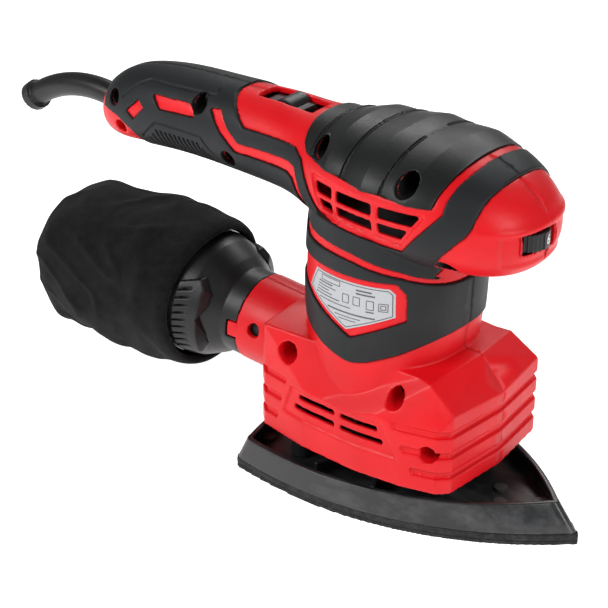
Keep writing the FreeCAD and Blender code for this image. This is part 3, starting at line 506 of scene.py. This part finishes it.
def housing_relief(mesh):
    """The flat band round the dial under the nose's brow, and the brow's soft crease."""
    points = positions(mesh)
    low, high, start = NOSE_BAND
    zone = (points[:, 0] > start - 5) & (points[:, 2] > low - 3) & (points[:, 2] < high + 6)
    refine(mesh, zone, 1)
    points, outward = positions(mesh), normals(mesh)
    x, y, z = points.T
    back = np.clip((x - start + 1.2 - (np.abs(y) - 19) * 0.2) / 1.6, 0, 1)
    brow = 1 / (1 + np.exp((z - high) / 0.22))
    chin = 1 / (1 + np.exp((low - z) / 0.35))
    sink = 0.95 * back * brow * chin
    swell = 0.55 * np.exp(-(((z - high - 1.6) / 1.5) ** 2)) * np.clip((x - 46) / 8, 0, 1)
    outer = np.hypot(outward[:, 0], outward[:, 1]) > 0.3
    outer &= (x * outward[:, 0] + y * outward[:, 1]) > 0
    outer &= x > 44
    place_vertices(mesh, points + outward * ((swell - sink) * outer)[:, None])


for node in ("housing_right", "housing_left"):
    shell = moulded(node, red, SHELL_VOXEL, 2, housing_relief)
    if node == "housing_right":
        darken_holes(shell, hole_painted_shade)
for node in ("grip_right", "grip_left"):
    moulded(node, rubber, SKIN_VOXEL, 4, grip_relief)
moulded("palm_cap", cap_rubber, CAP_VOXEL, 3, cap_relief)
for node in ("dust_adapter", "adapter_grips", "cord_guard"):
    moulded(node, black, SKIN_VOXEL, 3)
moulded("platen", platen_black, SKIN_VOXEL, 3)
moulded("switch_slider", black, SLIDER_VOXEL, 3)
moulded("speed_dial", black, DIAL_VOXEL, 1)

PLAIN = {
    red: ["latch_lug"],
    black: ["switch_link", "switch_tray", "switch_body", "dial_potentiometer", "cord_clamp"],
    dark_inside: ["fan", "brush_holders", "lower_bracket", "upper_bracket", "fan_cover"],
    rubber: ["rubber_posts", "bearing_cup"],
    rivet_steel: ["platen_rivets"],
    steel: ["clamp_screws", "housing_screws", "motor_shaft", "lower_bearing",
            "upper_bearing", "platen_bearing", "eccentric", "bag_hoop"],
    iron: ["armature_core", "field_core"],
    copper: ["armature_windings", "field_coils", "commutator"],
    cap_rubber: ["carbon_brushes"],
    board: ["control_board"],
    film: ["rating_plate"],
}
for material, nodes in PLAIN.items():
    for node in nodes:
        obj = NODES[node]
        dress(obj, material)
        bevel = obj.modifiers.new("bevel", "BEVEL")
        bevel.width = 0.15 * MM
        bevel.limit_method = "ANGLE"
        bevel.angle_limit = math.radians(40)
        bevel.segments = 2


def pad_layer(node, material, roughen, seed):
    """The foam and the hook sheet: a rough fibrous edge, flat faces."""
    source = link(bpy.data.objects.new(node + "_source", NODES[node].data.copy()))
    remesh = source.modifiers.new("remesh", "REMESH")
    remesh.mode = "VOXEL"
    remesh.voxel_size = PAD_VOXEL
    smooth = source.modifiers.new("smooth", "SMOOTH")
    smooth.iterations = 2
    made = bake(source, node + "_layer")
    bpy.data.objects.remove(source)
    low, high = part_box(node)
    for vertex in made.data.vertices:
        if low.z + 0.2 * MM < vertex.co.z < high.z - 0.2 * MM:
            out = Vector((vertex.normal.x, vertex.normal.y, 0))
            rough = noise.noise(vertex.co * 900 + Vector((seed, 0, 0)))
            vertex.co -= out * roughen * (0.6 + 0.6 * rough)
    shade_smooth(made)
    dress(made, material)
    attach(made, "platen")
    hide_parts(node)
    return made


pad_layer("foam_pad", foam, 0.25 * MM, 1.0)
pad_layer("hook_sheet", foam, 0.45 * MM, 5.0)


# ------------------------------------------------------------------------- the dust bag

def smooth_outline(points, count):
    """Evenly spaced places on a smooth curve through the points."""
    knots = np.array(points)
    steps = np.concatenate([[0], np.cumsum(np.hypot(*np.diff(knots, axis=0).T))])
    dense = np.linspace(0, steps[-1], count * 8)
    raw = np.stack([np.interp(dense, steps, knots[:, k]) for k in (0, 1)], axis=1)
    kernel = np.hanning(33) / np.hanning(33).sum()
    padded = np.concatenate([np.repeat(raw[:1], 16, 0), raw, np.repeat(raw[-1:], 16, 0)])
    soft = np.stack([np.convolve(padded[:, k], kernel, "valid") for k in (0, 1)], axis=1)
    return soft[:: 8]


def bag_mesh():
    """The sewn bag as one sleeve closed at the back, before it sags."""
    outline = smooth_outline(BAG_OUTLINE, BAG_ROWS)
    around = BAG_AROUND
    mesh = bmesh.new()
    rows = []
    for back, radius in outline:
        rise = math.sin(PORT_TILT) * back - 0.00052 * back * back
        row = []
        for k in range(around):
            angle = 2 * math.pi * k / around
            side, up = math.cos(angle), math.sin(angle)
            overhang = 5.0 * max(0.0, up) ** 2 * math.exp(-(((back - 26) / 9) ** 2))
            square = abs(side) ** BAG_SQUARENESS + abs(up) ** BAG_SQUARENESS
            square **= -1 / BAG_SQUARENESS
            wide = radius * (1 + (square - 1) * min(1.0, max(0.0, (back - 30) / 30)))
            point = PORT_MOUTH + Vector((-(back - overhang), wide * side, rise + wide * up)) * MM
            swell = noise.noise(Vector((back * 0.05, side * 1.6, up * 1.6 + 4)))
            fold = noise.noise(Vector((back * 0.10 + up * 1.5, side * 2.4 + 7, up * 2.4)))
            ridge = noise.noise(Vector((back * 0.045 - up * 1.1, side * 1.9 + 3, up * 1.9 + 9)))
            crease = 1 - abs(ridge) * 5
            loose = min(1.0, max(0.0, (back - 29) / 12))
            out = Vector((0, side, up))
            slack = 1.7 * swell + 1.0 * fold + 0.9 * max(0.0, crease) - 0.4
            row.append(mesh.verts.new(point + out * slack * loose * MM))
        rows.append(row)
    for upper, lower in zip(rows, rows[1:]):
        for k in range(around):
            n = (k + 1) % around
            mesh.faces.new((upper[k], upper[n], lower[n], lower[k]))
    centre = sum((vertex.co for vertex in rows[-1]), Vector()) / around
    tip = mesh.verts.new(centre)
    for k in range(around):
        mesh.faces.new((rows[-1][k], rows[-1][(k + 1) % around], tip))
    bmesh.ops.recalc_face_normals(mesh, faces=mesh.faces)
    data = bpy.data.meshes.new("dust_bag_cloth")
    mesh.to_mesh(data)
    mesh.free()
    return data


def settle(bag):
    """Let the cloth sag for a few frames, with each point held to a short way from its start."""
    low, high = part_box("dust_bag")
    start = [vertex.co.copy() for vertex in bag.data.vertices]
    held = bag.vertex_groups.new(name="held")
    held.add(list(range(HEM_RINGS * BAG_AROUND)), 1.0, "REPLACE")
    cloth = bag.modifiers.new("cloth", "CLOTH")
    for name, value in CLOTH.items():
        setattr(cloth.settings, name, value)
    cloth.settings.effector_weights.gravity = CLOTH_GRAVITY
    cloth.collision_settings.use_collision = False
    cloth.collision_settings.use_self_collision = False
    cloth.point_cache.frame_start = 1
    cloth.point_cache.frame_end = CLOTH_FRAMES
    for step in range(1, CLOTH_FRAMES + 1):
        bpy.context.scene.frame_set(step)
    settled = bake(bag, "dust_bag_settled")
    hem = PORT_MOUTH.x - BAG_OUTLINE[0][0] * MM
    for vertex, first, last in zip(bag.data.vertices, start, settled.data.vertices):
        move = last.co - first
        reach = min(MOVE_MOST, MOVE_AT_HEM + 0.1 * max(0.0, hem - first.x))
        if move.length > reach:
            move = move * (reach / move.length)
        place = first + move
        place.y = max(low.y - BAG_MARGIN, min(high.y + BAG_MARGIN, place.y))
        place.z = max(low.z - BAG_MARGIN, min(high.z + BAG_MARGIN, place.z))
        place.x = max(low.x - BAG_MARGIN, place.x)
        vertex.co = place
    bpy.data.objects.remove(settled)
    bag.modifiers.clear()
    bpy.context.scene.frame_set(1)


def dust_bag():
    """The bag: its cloth settles, then gets its thickness."""
    bag = link(bpy.data.objects.new("dust_bag_cloth", bag_mesh()))
    settle(bag)
    relax = bag.modifiers.new("relax", "SMOOTH")
    relax.factor = 0.5
    relax.iterations = 3
    cloth_skin = bag.modifiers.new("skin", "SOLIDIFY")
    cloth_skin.thickness = 1.0 * MM
    cloth_skin.offset = -1
    smooth = bag.modifiers.new("subdivide", "SUBSURF")
    smooth.levels = smooth.render_levels = 1
    made = bake(bag, "dust_bag_fabric")
    bpy.data.objects.remove(bag)
    shade_smooth(made)
    dress(made, fleece)
    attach(made, "dust_box")
    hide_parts("dust_bag")
    return made


dust_bag()


# ------------------------------------------------------------------- dial digits, plate

def dial_patch(name, centre, radius, angle, low, high):
    """A smooth curved patch of the wheel's rim."""
    patch = bmesh.new()
    reach = radius + PATCH_LIFT
    rows = []
    for z in (low + PATCH_EDGE, high - PATCH_EDGE):
        row = []
        for k in range(PATCH_STEPS + 1):
            a = angle + math.radians(-PATCH_HALF_ANGLE + 2 * PATCH_HALF_ANGLE * k / PATCH_STEPS)
            place = (centre.x + reach * math.cos(a), centre.y + reach * math.sin(a), z)
            row.append(patch.verts.new(place))
        rows.append(row)
    for k in range(PATCH_STEPS):
        patch.faces.new((rows[0][k], rows[0][k + 1], rows[1][k + 1], rows[1][k]))
    data = bpy.data.meshes.new(name)
    patch.to_mesh(data)
    patch.free()
    obj = link(bpy.data.objects.new(name, data))
    thick = obj.modifiers.new("thick", "SOLIDIFY")
    thick.thickness = 0.5 * MM
    thick.offset = 0
    dress(obj, black)
    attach(obj, "dial")


def dial_number(number, centre, radius, angle):
    """One plain number, standing just proud of its patch."""
    text = bpy.data.curves.new("number", "FONT")
    text.body = number
    text.size = 5.2 * MM
    text.align_x = "CENTER"
    text.align_y = "CENTER"
    text.extrude = 0.06 * MM
    glyph = link(bpy.data.objects.new("number", text))
    out = Vector((math.cos(angle), math.sin(angle), 0))
    across = Vector((0, 0, 1)).cross(out)
    turn = Matrix((across, Vector((0, 0, 1)), out)).transposed().to_4x4()
    glyph.matrix_world = Matrix.Translation(centre + out * (radius + NUMBER_LIFT)) @ turn
    bpy.context.view_layer.update()
    mark = bake(glyph, "dial_number_" + number)
    mark.data.transform(glyph.matrix_world)
    bpy.data.objects.remove(glyph)
    dress(mark, digits)
    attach(mark, "dial")


def dial_numbers():
    """Generic numbers round the thumbwheel, each on a smooth patch of its rim."""
    low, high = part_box("speed_dial")
    centre = (low + high) / 2
    radius = (high.x - low.x) / 2
    for index, number in enumerate("654321"):
        angle = math.radians(DIAL_FIRST_ANGLE + DIAL_STEP_ANGLE * index)
        dial_patch("dial_patch_" + number, centre, radius, angle, low.z, high.z)
        dial_number(number, centre, radius, angle)


dial_numbers()


def plate_print():
    """The plate's border and plain rules where a real plate has its text: no lettering."""
    bare = bmesh.new()
    bare.from_mesh(NODES["rating_plate"].data)
    surface = BVHTree.FromBMesh(bare)
    bare.free()
    outward = Vector((0, 1, 0))
    marks = bmesh.new()

    def on_plate(x, z):
        hit = surface.ray_cast(Vector((x, -60, z)) * MM, outward)[0]
        return hit - outward * PRINT_LIFT * MM if hit else None

    def strip(points, width):
        for (ax, az), (bx, bz) in zip(points, points[1:]):
            run = Vector((bx - ax, bz - az))
            side = Vector((-run.y, run.x)).normalized() * width / 2
            count = max(1, int(run.length / 0.6))
            rows = []
            for k in range(count + 1):
                x, z = ax + run.x * k / count, az + run.y * k / count
                pair = [on_plate(x + side.x * way, z + side.y * way) for way in (1, -1)]
                if None in pair:
                    rows = []
                    continue
                rows.append([marks.verts.new(place) for place in pair])
            for first, second in zip(rows, rows[1:]):
                marks.faces.new((first[0], first[1], second[1], second[0]))

    strip(PLATE_BORDER + PLATE_BORDER[:1], 0.3)
    for x, z, length, width in PLATE_RULES:
        strip([(x, z), (x + length, z)], width)
    for x, z, width, height in PLATE_BOXES:
        strip([(x, z), (x + width, z), (x + width, z + height), (x, z + height), (x, z)], 0.28)
    data = bpy.data.meshes.new("plate_print")
    marks.to_mesh(data)
    marks.free()
    obj = link(bpy.data.objects.new("plate_print", data))
    thick = obj.modifiers.new("thick", "SOLIDIFY")
    thick.thickness = 0.03 * MM
    thick.offset = 0
    dress(obj, ink)
    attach(obj, "housing")


plate_print()


# ------------------------------------------------------------------- stage, light, view

def floor():
    mesh = bmesh.new()
    bmesh.ops.create_grid(mesh, x_segments=2, y_segments=2, size=6.0)
    data = bpy.data.meshes.new("floor")
    mesh.to_mesh(data)
    mesh.free()
    obj = link(bpy.data.objects.new("floor", data))
    white = Material("paper", (0.9, 0.9, 0.9), 0.8, specular=0.1)
    set_input(white.shader, "Emission Color", (1, 1, 1, 1))
    set_input(white.shader, "Emission Strength", 0.68)
    white.bump(white.noise(40), 0.0001, 0.05)
    dress(obj, white)


def area_light(name, place, target, size, power):
    data = bpy.data.lights.new(name, "AREA")
    data.shape = "RECTANGLE"
    data.size, data.size_y = size
    data.energy = power
    obj = link(bpy.data.objects.new(name, data))
    obj.location = place
    obj.rotation_euler = (Vector(target) - Vector(place)).to_track_quat("-Z", "Y").to_euler()


def studio():
    scene = bpy.context.scene
    scene.view_settings.view_transform = "Standard"
    world = bpy.data.worlds.new("studio")
    scene.world = world
    world.use_nodes = True
    back = world.node_tree.nodes["Background"]
    back.inputs["Color"].default_value = (1, 1, 1, 1)
    back.inputs["Strength"].default_value = 0.22
    area_light("key", (-0.45, -0.9, 0.75), (-0.02, 0, 0.06), (0.55, 0.4), 10.5)
    area_light("nose_side", (1.0, -0.2, 0.7), (0.02, 0, 0.08), (0.35, 0.5), 6.5)
    area_light("far_rim", (-0.3, 0.8, 0.8), (-0.02, 0, 0.08), (0.8, 0.25), 5)


def camera():
    data = bpy.data.cameras.new("camera")
    data.sensor_width = 36.0
    data.lens = 106.58
    data.clip_start = 0.01
    obj = link(bpy.data.objects.new("camera", data))
    right = Vector((0.790911, 0.611881, 0.007776))
    up = Vector((-0.283286, 0.354847, 0.890973))
    back = Vector((0.542411, -0.706883, 0.453990))
    turn = Matrix((right, up, back)).transposed().to_4x4()
    obj.matrix_world = Matrix.Translation((0.336328, -0.495858, 0.376637)) @ turn
    bpy.context.scene.camera = obj


floor()
studio()
camera()
